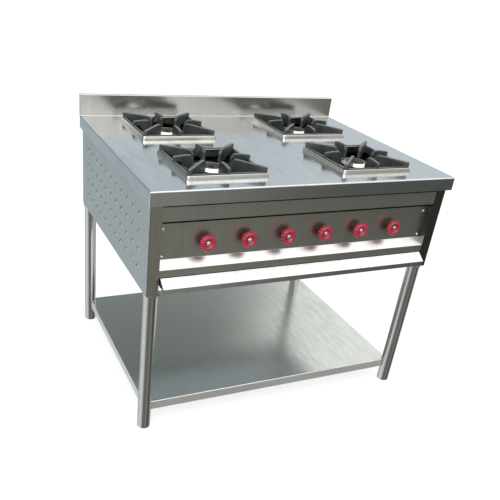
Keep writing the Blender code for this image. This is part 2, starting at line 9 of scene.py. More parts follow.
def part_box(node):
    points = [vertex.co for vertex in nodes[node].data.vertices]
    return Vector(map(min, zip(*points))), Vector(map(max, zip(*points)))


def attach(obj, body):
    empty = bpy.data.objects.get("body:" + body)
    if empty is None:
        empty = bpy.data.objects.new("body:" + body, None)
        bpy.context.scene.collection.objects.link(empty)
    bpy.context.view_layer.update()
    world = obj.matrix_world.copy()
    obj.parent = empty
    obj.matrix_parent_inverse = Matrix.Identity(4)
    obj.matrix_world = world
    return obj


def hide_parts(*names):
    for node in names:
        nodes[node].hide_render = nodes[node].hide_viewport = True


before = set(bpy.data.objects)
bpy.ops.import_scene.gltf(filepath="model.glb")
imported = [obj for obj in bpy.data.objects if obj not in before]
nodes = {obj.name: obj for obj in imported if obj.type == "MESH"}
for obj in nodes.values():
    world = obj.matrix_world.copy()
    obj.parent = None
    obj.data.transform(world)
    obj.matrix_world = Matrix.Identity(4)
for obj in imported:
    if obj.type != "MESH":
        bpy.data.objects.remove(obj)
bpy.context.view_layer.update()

bpy.context.scene.view_settings.view_transform = "Standard"
sidesOfRange = {"left": -1, "right": 1}
burners = ["front_left", "front_right", "rear_left", "rear_right"]
cadSheet = 0.002  # thickness of the solids' sheet
sameSpot = 0.00001  # points closer than this are merged


def inScene(name, data):
    added = bpy.data.objects.new(name, data)
    bpy.context.scene.collection.objects.link(added)
    return added


# camera, at the height and turn of someone standing left of the front
cameraValues = {
    "place": (-1.1607, -2.1093, 1.5411),
    "azimuth": -27.408,
    "elevation": 29.961,
    "roll": 6.863,
    "focal": 45.99,
    "sensor": 36.0,
    "shift": (0.0547, 0.1316),
    "farthest": 100.0,
}


def makeCamera(values):
    azimuth = math.radians(values["azimuth"])
    elevation = math.radians(values["elevation"])
    roll = math.radians(values["roll"])
    level = math.cos(elevation)
    forward = Vector((math.sin(-azimuth) * level, math.cos(azimuth) * level, -math.sin(elevation)))
    right = forward.cross(Vector((0, 0, 1))).normalized()
    up = right.cross(forward)
    turnedRight = right * math.cos(roll) + up * math.sin(roll)
    turnedUp = up * math.cos(roll) - right * math.sin(roll)
    data = bpy.data.cameras.new("camera")
    data.sensor_width = values["sensor"]
    data.lens = values["focal"]
    data.shift_x, data.shift_y = values["shift"]
    data.clip_end = values["farthest"]
    camera = inScene("camera", data)
    turn = Matrix((turnedRight, turnedUp, -forward)).transposed().to_4x4()
    camera.matrix_world = Matrix.Translation(values["place"]) @ turn
    bpy.context.scene.camera = camera


makeCamera(cameraValues)
print("camera made")


# node helpers
def mathNode(tree, operation, first, second):
    node = tree.nodes.new("ShaderNodeMath")
    node.operation = operation
    for socket, value in zip(node.inputs, (first, second)):
        if isinstance(value, (int, float)):
            socket.default_value = value
        else:
            tree.links.new(value, socket)
    return node.outputs[0]


def easeNode(tree, value, start, end):
    # 0 at the start and 1 at the end, smoothly between them
    node = tree.nodes.new("ShaderNodeMapRange")
    node.interpolation_type = "SMOOTHSTEP"
    node.inputs["From Min"].default_value = start
    node.inputs["From Max"].default_value = end
    tree.links.new(value, node.inputs["Value"])
    return node.outputs[0]


def rampNode(tree, value, stops):
    node = tree.nodes.new("ShaderNodeValToRGB")
    while len(node.color_ramp.elements) < len(stops):
        node.color_ramp.elements.new(0.5)
    for element, (place, colour) in zip(node.color_ramp.elements, stops):
        element.position = place
        element.color = (*colour, 1.0)
    tree.links.new(value, node.inputs[0])
    return node.outputs[0]


def colourBetween(tree, factor, low, high):
    # each colour is a tuple or another node's output
    mix = tree.nodes.new("ShaderNodeMix")
    mix.data_type = "RGBA"
    mix.clamp_factor = True
    for label, colour in (("A", low), ("B", high)):
        if isinstance(colour, tuple):
            mix.inputs[label].default_value = (*colour, 1.0)
        else:
            tree.links.new(colour, mix.inputs[label])
    tree.links.new(factor, mix.inputs["Factor"])
    return mix.outputs["Result"]


# light: a soft sky, white overhead, over a ground that is dark in front and paler to the sides and behind
lightValues = {
    "overhead": (1.95, 1.95, 1.92),
    "backOverhead": (1.15, 1.18, 1.18),
    "frontSky": [  # height of the direction, colour
        (0.0, (0.46, 0.45, 0.42)),
        (0.16, (0.60, 0.59, 0.55)),
        (0.22, (0.72, 0.71, 0.66)),
        (0.36, (1.10, 1.08, 1.02)),
        (0.55, (1.5, 1.5, 1.45)),
    ],
    "frontSkyShare": (0.78, 1.32),  # its strength on the right and on the left
    "backSky": (0.63, 0.69, 0.73),
    "backHaze": (0.22, 0.24, 0.22),
    "backLeft": (0.10, 0.115, 0.115),
    "rightGlow": (1.30, 1.30, 1.26),
    "ground": [  # share of a turn, colour
        (0.0, (0.46, 0.52, 0.55)),
        (0.12, (0.50, 0.57, 0.60)),
        (0.25, (0.30, 0.31, 0.30)),
        (0.34, (0.075, 0.077, 0.066)),
        (0.40, (0.115, 0.117, 0.10)),
        (0.445, (0.28, 0.285, 0.26)),
        (0.52, (0.16, 0.16, 0.14)),
        (0.62, (0.20, 0.20, 0.19)),
        (0.70, (0.78, 0.80, 0.80)),
        (0.82, (0.80, 0.85, 0.86)),
        (0.93, (0.45, 0.51, 0.54)),
    ],
    "background": (0.98, 0.98, 0.98),
    "hazeHeights": (0.38, 0.46),  # where each change of colour starts and ends
    "glowTurns": (0.47, 0.66),
    "glowHeights": (0.30, 0.42),
    "leftTurns": (0.02, -0.30),
    "leftHeights": (0.24, 0.08),
    "backTopHeights": (0.68, 0.86),
    "frontTopHeights": (0.50, 0.70),
    "shareTurns": (0.39, 0.46),
    "frontDepths": (0.25, -0.45),
    "horizonHeights": (-0.14, 0.0),
    "boxSize": 2.2,
    "boxPower": 40.0,
    "boxPlace": (-1.6, -1.2, 3.0),
    "boxAim": (0, 0, 0.7),
    "floorSize": 120.0,
    "floorColour": (0.22, 0.22, 0.22),
    "floorRoughness": 0.9,
    "floorGlow": 0.80,
}


def makeWorld(values):
    # the colour of a direction comes from its height z and its share of a turn: 0 behind the range, a quarter
    # on its right, a half in front and three quarters on its left
    world = bpy.data.worlds.new("studio")
    bpy.context.scene.world = world
    world.use_nodes = True
    tree = world.node_tree
    coords = tree.nodes.new("ShaderNodeTexCoord")
    split = tree.nodes.new("ShaderNodeSeparateXYZ")
    tree.links.new(coords.outputs["Generated"], split.inputs[0])
    x, y, z = split.outputs
    turn = mathNode(tree, "ARCTAN2", x, y)
    share = mathNode(tree, "FRACT", mathNode(tree, "DIVIDE", turn, 2 * math.pi), 0.0)

    def along(direction, label):
        return easeNode(tree, direction, *values[label])

    back = colourBetween(tree, along(z, "hazeHeights"), values["backSky"], values["backHaze"])
    glow = mathNode(tree, "MULTIPLY", along(turn, "glowTurns"), along(z, "glowHeights"))
    back = colourBetween(tree, glow, back, values["rightGlow"])
    shade = mathNode(tree, "MULTIPLY", along(turn, "leftTurns"), along(z, "leftHeights"))
    back = colourBetween(tree, shade, back, values["backLeft"])
    back = colourBetween(tree, along(z, "backTopHeights"), back, values["backOverhead"])
    onRight, onLeft = values["frontSkyShare"]
    strength = mathNode(tree, "MULTIPLY", along(share, "shareTurns"), onLeft - onRight)
    shaded = tree.nodes.new("ShaderNodeVectorMath")
    shaded.operation = "SCALE"
    tree.links.new(rampNode(tree, z, values["frontSky"]), shaded.inputs[0])
    tree.links.new(mathNode(tree, "ADD", strength, onRight), shaded.inputs["Scale"])
    front = colourBetween(tree, along(z, "frontTopHeights"), shaded.outputs[0], values["overhead"])
    sky = colourBetween(tree, along(y, "frontDepths"), back, front)
    ground = rampNode(tree, share, values["ground"])
    whole = colourBetween(tree, along(z, "horizonHeights"), ground, sky)
    rays = tree.nodes.new("ShaderNodeLightPath")
    whole = colourBetween(tree, rays.outputs["Is Camera Ray"], whole, values["background"])
    tree.links.new(whole, tree.nodes["Background"].inputs["Color"])


def makeSoftbox(values):
    lamp = bpy.data.lights.new("softbox", "AREA")
    lamp.shape = "SQUARE"
    lamp.size = values["boxSize"]
    lamp.energy = values["boxPower"]
    softbox = inScene("softbox", lamp)
    softbox.location = values["boxPlace"]
    aim = Vector(values["boxAim"]) - softbox.location
    softbox.rotation_euler = aim.to_track_quat("-Z", "Y").to_euler()


def makeFloor(values):
    half = values["floorSize"] / 2
    corners = [(-half, -half, 0), (half, -half, 0), (half, half, 0), (-half, half, 0)]
    mesh = bpy.data.meshes.new("floor")
    mesh.from_pydata(corners, [], [(0, 1, 2, 3)])
    floor = inScene("floor", mesh)
    material = bpy.data.materials.new("paleFloor")
    material.use_nodes = True
    shader = material.node_tree.nodes["Principled BSDF"]
    shader.inputs["Base Color"].default_value = (*values["floorColour"], 1.0)
    shader.inputs["Roughness"].default_value = values["floorRoughness"]
    shader.inputs["Emission Color"].default_value = (1, 1, 1, 1)
    shader.inputs["Emission Strength"].default_value = values["floorGlow"]
    mesh.materials.append(material)
    floor.visible_glossy = False  # the steel mirrors the surroundings, as it would outdoors


makeWorld(lightValues)
makeSoftbox(lightValues)
makeFloor(lightValues)
print("light and floor made")


# shared effects
def newGroup(name, inputs, outputs):
    group = bpy.data.node_groups.new(name, "ShaderNodeTree")
    for label, default in inputs:
        socket = group.interface.new_socket(label, in_out="INPUT", socket_type="NodeSocketFloat")
        socket.default_value = default
    for label in outputs:
        group.interface.new_socket(label, in_out="OUTPUT", socket_type="NodeSocketFloat")
    return group, group.nodes.new("NodeGroupInput"), group.nodes.new("NodeGroupOutput")


def noiseNode(tree, scale, detail, roughness=0.5, stretch=(1, 1, 1)):
    # noise on Object coordinates, multiplied by the stretch along each axis
    coords = tree.nodes.new("ShaderNodeTexCoord")
    mapping = tree.nodes.new("ShaderNodeMapping")
    mapping.inputs["Scale"].default_value = stretch
    noise = tree.nodes.new("ShaderNodeTexNoise")
    noise.inputs["Detail"].default_value = detail
    noise.inputs["Roughness"].default_value = roughness
    tree.links.new(coords.outputs["Object"], mapping.inputs["Vector"])
    tree.links.new(mapping.outputs[0], noise.inputs["Vector"])
    if isinstance(scale, (int, float)):
        noise.inputs["Scale"].default_value = scale
    else:
        tree.links.new(scale, noise.inputs["Scale"])
    return noise.outputs["Fac"]


def makeGrain(name, stretch):
    # brushed grain: fine noise drawn out along one axis, as a value round 0
    group, given, result = newGroup(name, [("Fineness", 400.0), ("Depth", 1.0)], ["Grain"])
    fine = noiseNode(group, given.outputs["Fineness"], detail=3.0, stretch=stretch)
    centred = mathNode(group, "SUBTRACT", fine, 0.5)
    group.links.new(mathNode(group, "MULTIPLY", centred, given.outputs["Depth"]), result.inputs["Grain"])
    return group


def makeHandling():
    # handling marks: broad cloudy smears with finer ones in them, from 0 to about 1
    group, given, result = newGroup("handling", [("Size", 3.0), ("Amount", 1.0)], ["Marks"])
    broad = noiseNode(group, given.outputs["Size"], detail=4.0, roughness=0.6)
    streaks = noiseNode(group, scale=7.0, detail=3.0, roughness=0.6, stretch=(6, 1.2, 1.2))
    both = mathNode(group, "MULTIPLY", broad, streaks)
    lifted = mathNode(group, "SUBTRACT", mathNode(group, "MULTIPLY", both, 4.0), 0.5)
    group.links.new(mathNode(group, "MULTIPLY", lifted, given.outputs["Amount"]), result.inputs["Marks"])
    return group


def makeWaviness():
    # the slow waves that thin sheet has after folding and welding
    group, given, result = newGroup("waviness", [("Size", 3.0), ("Depth", 1.0)], ["Wave"])
    slow = noiseNode(group, given.outputs["Size"], detail=1.0)
    group.links.new(mathNode(group, "MULTIPLY", slow, given.outputs["Depth"]), result.inputs["Wave"])
    return group


def makeCasting():
    # sand-cast skin: pits and grains of two sizes
    group, given, result = newGroup("castSkin", [("Size", 260.0), ("Depth", 1.0)], ["Skin"])
    grains = noiseNode(group, given.outputs["Size"], detail=6.0, roughness=0.65)
    lumps = noiseNode(group, scale=45.0, detail=2.0)
    both = mathNode(group, "ADD", grains, lumps)
    group.links.new(mathNode(group, "MULTIPLY", both, given.outputs["Depth"]), result.inputs["Skin"])
    return group


def makePaintedTopLight():
    # painted top light: where a surface faces up, broken by noise: 0 on walls, about 1 on the tops
    group, given, result = newGroup("paintedTopLight", [("Depth", 1.0)], ["Mask"])
    facing = group.nodes.new("ShaderNodeNewGeometry")
    split = group.nodes.new("ShaderNodeSeparateXYZ")
    group.links.new(facing.outputs["Normal"], split.inputs[0])
    lifted = mathNode(group, "SUBTRACT", mathNode(group, "MULTIPLY", split.outputs["Z"], 2.0), 1.1)
    broken = mathNode(group, "MULTIPLY", lifted, noiseNode(group, scale=90.0, detail=4.0, roughness=0.6))
    clamped = mathNode(group, "MULTIPLY", broken, given.outputs["Depth"])
    clamped.node.use_clamp = True
    group.links.new(clamped, result.inputs["Mask"])
    return group


effects = {
    "paintedTopLight": makePaintedTopLight(),
    "grainX": makeGrain("grainAlongX", (0.03, 1, 1)),
    "grainY": makeGrain("grainAlongY", (1, 0.03, 1)),
    "grainZ": makeGrain("grainAlongZ", (1, 1, 0.03)),
    "handling": makeHandling(),
    "waviness": makeWaviness(),
    "casting": makeCasting(),
}


def useEffect(tree, name, **values):
    node = tree.nodes.new("ShaderNodeGroup")
    node.node_tree = effects[name]
    for label, value in values.items():
        node.inputs[label].default_value = value
    return node.outputs[0]


# finishes
def addBump(tree, shader, height, strength, distance):
    bump = tree.nodes.new("ShaderNodeBump")
    bump.inputs["Strength"].default_value = strength
    bump.inputs["Distance"].default_value = distance
    tree.links.new(height, bump.inputs["Height"])
    tree.links.new(bump.outputs["Normal"], shader.inputs["Normal"])


def newShader(name):
    material = bpy.data.materials.new(name)
    material.use_nodes = True
    return material, material.node_tree, material.node_tree.nodes["Principled BSDF"]


def setRoughness(tree, shader, marks, rougher, roughness):
    # marks times how much rougher they are, plus the clean roughness
    spread = mathNode(tree, "MULTIPLY", marks, rougher)
    tree.links.new(mathNode(tree, "ADD", spread, roughness), shader.inputs["Roughness"])


def steel(name, grain, unmarked, dull, roughness, rougher, grainDepth, waveDepth, waveSize):
    # stainless sheet or tube: brushed along one axis, smeared by handling, slightly wavy
    material, tree, shader = newShader(name)
    fine = useEffect(tree, grain, Fineness=420.0, Depth=1.0)
    marks = useEffect(tree, "handling", Size=3.5, Amount=1.0)
    wave = useEffect(tree, "waviness", Size=waveSize, Depth=waveDepth)
    smeared = mathNode(tree, "ADD", marks, fine)
    tree.links.new(colourBetween(tree, smeared, unmarked, dull), shader.inputs["Base Color"])
    shader.inputs["Metallic"].default_value = 1.0
    setRoughness(tree, shader, smeared, rougher, roughness)
    height = mathNode(tree, "ADD", wave, mathNode(tree, "MULTIPLY", fine, grainDepth))
    addBump(tree, shader, height, strength=1.0, distance=0.004)
    return material


def castIron(name, colour, patchy, topLightColour, roughness):
    # black castings: patchy, and painted pale where they face up, as painted top light
    material, tree, shader = newShader(name)
    skin = useEffect(tree, "casting", Size=260.0, Depth=1.0)
    patches = useEffect(tree, "handling", Size=14.0, Amount=1.0)
    paintedTopLight = useEffect(tree, "paintedTopLight", Depth=1.0)
    whole = colourBetween(tree, patches, colour, patchy)
    tree.links.new(colourBetween(tree, paintedTopLight, whole, topLightColour), shader.inputs["Base Color"])
    setRoughness(tree, shader, patches, 0.12, roughness)
    addBump(tree, shader, skin, strength=0.55, distance=0.0006)
    return material


def plainMetal(name, colour, dull, roughness):
    # small turned or drawn metal parts, with a faint grain
    material, tree, shader = newShader(name)
    marks = useEffect(tree, "handling", Size=20.0, Amount=1.0)
    tree.links.new(colourBetween(tree, marks, colour, dull), shader.inputs["Base Color"])
    shader.inputs["Metallic"].default_value = 1.0
    setRoughness(tree, shader, marks, 0.15, roughness)
    grain = useEffect(tree, "grainY", Fineness=900.0, Depth=1.0)
    addBump(tree, shader, grain, strength=0.15, distance=0.0003)
    return material


def redPlastic(name, colour, dull, roughness):
    # hard glossy moulding, dulled where it is held
    material, tree, shader = newShader(name)
    marks = useEffect(tree, "handling", Size=25.0, Amount=1.0)
    tree.links.new(colourBetween(tree, marks, colour, dull), shader.inputs["Base Color"])
    setRoughness(tree, shader, marks, 0.2, roughness)
    shader.inputs["Coat Weight"].default_value = 0.3
    skin = useEffect(tree, "casting", Size=500.0, Depth=1.0)
    addBump(tree, shader, skin, strength=0.08, distance=0.0002)
    return material


def addWellShade(material, unmarked, black, colour):
    # painted shade: darkens a paint from one height down to another, standing for the shade deep inside a
    # burner well
    tree = material.node_tree
    shader = next(node for node in tree.nodes if node.type == "BSDF_PRINCIPLED")
    source = shader.inputs["Base Color"].links[0].from_socket
    coords = tree.nodes.new("ShaderNodeTexCoord")
    split = tree.nodes.new("ShaderNodeSeparateXYZ")
    tree.links.new(coords.outputs["Object"], split.inputs[0])
    fall = easeNode(tree, split.outputs["Z"], unmarked, black)
    tree.links.new(colourBetween(tree, fall, source, colour), shader.inputs["Base Color"])


# grain, clean colour, dull colour, roughness, rougher where smeared, grain depth, wave depth, wave size
steelValues = {
    "top": ("grainX", (0.68, 0.70, 0.71), (0.60, 0.62, 0.63), 0.15, 0.05, 0.002, 0.20, 1.6),
    "panel": ("grainX", (0.55, 0.56, 0.52), (0.47, 0.48, 0.45), 0.30, 0.08, 0.004, 0.25, 2.5),
    # ledge: a lighter copy of the panel steel, as painted highlight on the sloping ledge, and a touch
    # smoother
    "ledge": ("grainX", (0.66, 0.66, 0.65), (0.60, 0.60, 0.59), 0.27, 0.05, 0.001, 0.1, 2.5),
    "side": ("grainY", (0.64, 0.66, 0.66), (0.58, 0.60, 0.60), 0.30, 0.08, 0.004, 0.5, 4.0),
    "splash": ("grainZ", (0.74, 0.74, 0.72), (0.66, 0.66, 0.64), 0.21, 0.04, 0.0, 0.25, 3.0),
    "post": ("grainZ", (0.54, 0.52, 0.47), (0.46, 0.45, 0.40), 0.26, 0.08, 0.004, 0.4, 6.0),
    # postPaintedShade: a darker copy of the post steel, as painted shade on the right post
    "postPaintedShade": ("grainZ", (0.15, 0.15, 0.135), (0.11, 0.11, 0.10), 0.30, 0.08, 0.004, 0.4, 6.0),
    # edge: a much lighter copy of the shelf steel, as painted highlight on the undershelf's upright rim
    "edge": ("grainX", (0.90, 0.91, 0.90), (0.84, 0.85, 0.84), 0.52, 0.08, 0.002, 0.2, 3.0),
    "shelf": ("grainX", (0.62, 0.64, 0.62), (0.54, 0.56, 0.54), 0.17, 0.06, 0.0015, 0.20, 2.0),
    "tray": ("grainX", (0.76, 0.76, 0.75), (0.68, 0.68, 0.67), 0.18, 0.08, 0.003, 0.3, 4.0),
    "tube": ("grainZ", (0.70, 0.70, 0.68), (0.62, 0.62, 0.60), 0.10, 0.05, 0.001, 0.1, 5.0),
    "well": ("grainX", (0.68, 0.68, 0.65), (0.60, 0.60, 0.57), 0.18, 0.08, 0.003, 0.2, 8.0),
}
# colour, patches, painted top-light colour, roughness
ironValues = {
    "iron": ("blackIron", (0.020, 0.025, 0.026), (0.042, 0.050, 0.050), (0.20, 0.215, 0.205), 0.37),
    "ironRough": ("burnerIron", (0.010, 0.010, 0.009), (0.024, 0.022, 0.020), (0.035, 0.034, 0.031), 0.60),
}
# colour, dull colour, roughness
metalValues = {
    "dark": ("spindleSteel", (0.13, 0.135, 0.11), (0.07, 0.07, 0.06), 0.38),
    # near-black paint as painted shadow, on the strips behind the header and under the apron and on the
    # pull's end plates
    "paintedShadow": ("paintedShadowDark", (0.035, 0.036, 0.032), (0.02, 0.02, 0.018), 0.55),
    "bright": ("boltSteel", (0.85, 0.85, 0.83), (0.70, 0.70, 0.68), 0.22),
    "rim": ("burnerRimSteel", (0.92, 0.92, 0.90), (0.80, 0.80, 0.78), 0.25),
    "brass": ("valveBrass", (0.62, 0.45, 0.20), (0.45, 0.32, 0.15), 0.30),
    "pipe": ("pipePaint", (0.13, 0.13, 0.13), (0.08, 0.08, 0.08), 0.45),
}
redValues = {"colour": (0.36, 0.012, 0.040), "dull": (0.22, 0.008, 0.025), "roughness": 0.22}
# painted shade inside the wells: the height where it starts, where it is full, and its colour
wellShadeValues = {"unmarked": 0.904, "black": 0.893, "colour": (0.02, 0.02, 0.018)}

paints = {
    **{name: steel(f"{name}Steel", *values) for name, values in steelValues.items()},
    **{name: castIron(*values) for name, values in ironValues.items()},
    **{name: plainMetal(*values) for name, values in metalValues.items()},
    "red": redPlastic("redMoulding", **redValues),
}
# the wells' steel darkens with depth, as painted shade
addWellShade(paints["well"], **wellShadeValues)
print("materials made")


# surfaces
def quadFaces(rows, columns, wrapRows=False, wrapColumns=False):
    # the quads of a grid of points stored row by row
    rowEnds = rows if wrapRows else rows - 1
    columnEnds = columns if wrapColumns else columns - 1
    r, c = np.meshgrid(np.arange(rowEnds), np.arange(columnEnds), indexing="ij")
    nextR, nextC = (r + 1) % rows, (c + 1) % columns
    corners = [r * columns + c, r * columns + nextC, nextR * columns + nextC, nextR * columns + c]
    return np.stack(corners, -1).reshape(-1, 4).tolist()


def gridShape(points, wrapRows=False, wrapColumns=False):
    # points on a rows by columns grid, with their quads
    rows, columns = points.shape[:2]
    return points.reshape(-1, 3), quadFaces(rows, columns, wrapRows, wrapColumns)


def together(*shapes):
    # several shapes as one list of points and faces
    allPoints, allFaces, start = [], [], 0
    for points, faces in shapes:
        allPoints.append(points)
        allFaces += [[index + start for index in face] for face in faces]
        start += len(points)
    return np.concatenate(allPoints), allFaces


def atLevel(loop, level):
    # a flat outline lifted to one height
    return np.column_stack([loop, np.full(len(loop), level)])


def filleted(points, radius, steps=4):
    # an open outline whose inner corners are each replaced by a quadratic curve that touches both sides,
    # starting radius / tan(half the corner's angle) away, but never past 0.45 of a side
    points = np.asarray(points, float)
    path = [points[0]]
    t = np.linspace(0, 1, steps + 1)[:, None]
    for before, corner, after in zip(points, points[1:], points[2:]):
        toBefore, toAfter = before - corner, after - corner
        lengths = np.linalg.norm(toBefore), np.linalg.norm(toAfter)
        cosine = np.clip(toBefore @ toAfter / (lengths[0] * lengths[1]), -1, 1)
        reach = min(radius / math.tan(math.acos(cosine) / 2), *(0.45 * length for length in lengths))
        a = corner + toBefore / lengths[0] * reach
        b = corner + toAfter / lengths[1] * reach
        path += list((1 - t) ** 2 * a + 2 * t * (1 - t) * corner + t**2 * b)
    path.append(points[-1])
    return np.array(path)


def thickOutline(path, thickness):
    # a closed outline: the path, and the same path moved to its left by the thickness, run back
    step = np.gradient(path, axis=0)
    step /= np.linalg.norm(step, axis=1, keepdims=True)
    left = np.stack([-step[:, 1], step[:, 0]], -1)
    return np.concatenate([path, (path + left * thickness)[::-1]])


def drawnOut(loop, low, high):
    # a closed outline of (y, z) drawn straight out along X, with its two ends closed by strips of quads
    count = len(loop)
    points = np.empty((2, count, 3))
    points[:, :, 0] = np.array([low, high])[:, None]
    points[:, :, 1:] = loop
    faces = quadFaces(2, count, wrapColumns=True)
    half = np.arange(count // 2 - 1)
    for start in (0, count):
        strip = np.stack([half, half + 1, count - 2 - half, count - 1 - half], -1) + start
        faces += strip.tolist()
    return points.reshape(-1, 3), faces


def turnedShape(profile, steps, centre=(0, 0, 0), lobes=None):
    # a profile of (radius, height) turned about Z: x = radius cos(angle), y = radius sin(angle).
    # lobes(angle, row) multiplies the radius, for ribs and slots
    profile = np.asarray(profile, float)
    angle = np.linspace(0, 2 * np.pi, steps, endpoint=False)
    radius = profile[:, :1] * np.ones(steps)
    if lobes is not None:
        radius = radius * lobes(angle[None, :], np.linspace(0, 1, len(profile))[:, None])
    points = np.stack([radius * np.cos(angle), radius * np.sin(angle), profile[:, 1:] * np.ones(steps)], -1)
    return gridShape(points + np.array(centre), wrapColumns=True)


def turnedToFront(shape, centre):
    # stands a shape that was turned about Z on the front: its +Z end faces -Y, at the given centre
    points, faces = shape
    return np.stack([points[:, 0], -points[:, 2], points[:, 1]], -1) + np.array(centre), faces


def roundedSquare(half, corner, perSide):
    # points round a square with rounded corners, the same number on each side and corner, from (1, -1)
    t = np.linspace(-1, 1, perSide)
    a = np.linspace(0, np.pi / 2, 7)[1:-1]
    flat = half - corner
    line = np.stack([np.full_like(t, half), t * flat], -1)
    bend = np.stack([flat + corner * np.cos(a), flat + corner * np.sin(a)], -1)
    quarterTurn = np.concatenate([line, bend])
    points = []
    for turn in np.arange(4) * np.pi / 2:
        spin = np.array([[np.cos(turn), -np.sin(turn)], [np.sin(turn), np.cos(turn)]])
        points.append(quarterTurn @ spin.T)
    return np.concatenate(points)


# pieces
def cleanMesh(name, shape):
    # the shape as a mesh: doubles merged and faces turned outwards
    points, faces = shape
    mesh = bpy.data.meshes.new(name)
    mesh.from_pydata(points.tolist(), [], faces)
    work = bmesh.new()
    work.from_mesh(mesh)
    bmesh.ops.remove_doubles(work, verts=work.verts, dist=sameSpot)
    bmesh.ops.recalc_face_normals(work, faces=work.faces)
    work.to_mesh(mesh)
    work.free()
    return mesh


def addPiece(name, mesh, body, stands=()):
    piece = inScene(name, mesh)
    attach(piece, body)
    if stands:
        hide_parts(*stands)
    return piece


def makePiece(name, shape, paint, body, stands=(), smoothAngle=35):
    # the shape as a painted piece, smooth across edges of up to an angle
    mesh = cleanMesh(name, shape)
    mesh.shade_smooth()
    mesh.set_sharp_from_angle(angle=math.radians(smoothAngle))
    mesh.materials.append(paints[paint])
    return addPiece(name, mesh, body, stands)


def addBevel(piece, width, segments=4):
    modifier = piece.modifiers.new("edges", "BEVEL")
    modifier.width = width
    modifier.segments = segments
    modifier.limit_method = "ANGLE"
    modifier.angle_limit = math.radians(30)


def addFlatShading(piece):
    modifier = piece.modifiers.new("shading", "WEIGHTED_NORMAL")
    modifier.keep_sharp = True


def makeSheet(piece, thickness):
    # gives an open surface its thickness, inwards, and keeps its flats flat
    modifier = piece.modifiers.new("sheet", "SOLIDIFY")
    modifier.thickness = thickness
    modifier.offset = -1.0
    modifier.use_even_offset = True
    addFlatShading(piece)


def turnOutwards(piece, facing):
    # turns an open sheet over when its faces, on balance, point the wrong way
    balance = sum(facing(face) * face.area for face in piece.data.polygons)
    if balance < 0:
        piece.data.flip_normals()


def paintFaces(piece, paint, chosen):
    # a second paint on the faces that pass the test
    piece.data.materials.append(paints[paint])
    for face in piece.data.polygons:
        if chosen(face):
            face.material_index = len(piece.data.materials) - 1


def nodeBox(name):
    low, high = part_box(name)
    return np.array(low), np.array(high)


panelFace = nodeBox("control_panel")[1][1] - cadSheet  # where the recessed panel's front is along Y

# worktop: a top with four openings, its edges folded down
topValues = {"bend": 0.0045, "sheet": 0.0018, "flange": 0.012, "inset": 0.0067}


def makeWorktop(values):
    # cells between sorted x and y lines, leaving out those inside an opening; every free edge goes down
    low, high = nodeBox("worktop")
    wells = [nodeBox(f"burner_well_{place}") for place in burners]
    inset = values["inset"]
    xLines, yLines = {low[0], high[0]}, {low[1], high[1]}
    for wellLow, wellHigh in wells:
        xLines |= {round(wellLow[0] + inset, 6), round(wellHigh[0] - inset, 6)}
        yLines |= {round(wellLow[1] + inset, 6), round(wellHigh[1] - inset, 6)}
    xs, ys = np.array(sorted(xLines)), np.array(sorted(yLines))
    midX, midY = (xs[1:] + xs[:-1]) / 2, (ys[1:] + ys[:-1]) / 2
    solid = np.ones((len(midX), len(midY)), bool)
    for wellLow, wellHigh in wells:
        insideX = (midX > wellLow[0]) & (midX < wellHigh[0])
        insideY = (midY > wellLow[1]) & (midY < wellHigh[1])
        solid &= ~(insideX[:, None] & insideY[None, :])
    columns = len(ys)
    x, y = np.meshgrid(xs, ys, indexing="ij")
    upper = np.stack([x, y, np.full_like(x, high[2])], -1).reshape(-1, 3)
    outer = (x == xs[0]) | (x == xs[-1]) | (y == ys[0]) | (y == ys[-1])
    lowLevel = np.where(outer, low[2], high[2] - values["flange"])
    lower = np.stack([x, y, lowLevel], -1).reshape(-1, 3)
    count = len(upper)
    faces = []
    padded = np.pad(solid, 1)
    for i, j in zip(*np.nonzero(solid)):
        corner = i * columns + j
        faces.append([corner, corner + columns, corner + columns + 1, corner + 1])
        for beside, a, b in (
            (padded[i, j + 1], corner + 1, corner),
            (padded[i + 2, j + 1], corner + columns, corner + columns + 1),
            (padded[i + 1, j], corner, corner + columns),
            (padded[i + 1, j + 2], corner + columns + 1, corner + 1),
        ):
            if not beside:
                faces.append([a, b, b + count, a + count])
    shape = np.concatenate([upper, lower]), faces
    piece = makePiece("worktopSheet", shape, "top", "frame", ["worktop"])
    loose = bmesh.new()
    loose.from_mesh(piece.data)
    bmesh.ops.delete(loose, geom=[v for v in loose.verts if not v.link_faces], context="VERTS")
    loose.to_mesh(piece.data)
    loose.free()
    addBevel(piece, values["bend"])
    makeSheet(piece, values["sheet"])


makeWorktop(topValues)

# upstand along the back, its foot coved into the top
splashValues = {"fold": 0.003, "cove": 0.006, "coveBend": 0.0048}


def makeSplash(values):
    # the side outline of the folded upstand, with a small cove at its foot, drawn out along X and capped
    low, high = nodeBox("backsplash")
    front, rear, foot, top = low[1], high[1], low[2], high[2]
    outline = [(front - values["cove"], foot), (front, foot), (front, top), (rear, top), (rear, foot)]
    frontSide = filleted(outline[:3], values["coveBend"], 5)
    overTop = filleted(outline[1:], values["fold"], 4)
    path = np.concatenate([frontSide[:-1], overTop[1:]])
    count = len(path)
    points = np.zeros((2, count, 3))
    points[:, :, 1:] = path
    points[0, :, 0], points[1, :, 0] = low[0], high[0]
    faces = quadFaces(2, count)
    faces += [list(range(count))[::-1], list(range(count, 2 * count))]
    faces.append([0, count - 1, 2 * count - 1, count])
    shape = points.reshape(-1, 3), faces
    addFlatShading(makePiece("backUpstand", shape, "splash", "frame", ["backsplash"]))


makeSplash(splashValues)
print("worktop and upstand made")

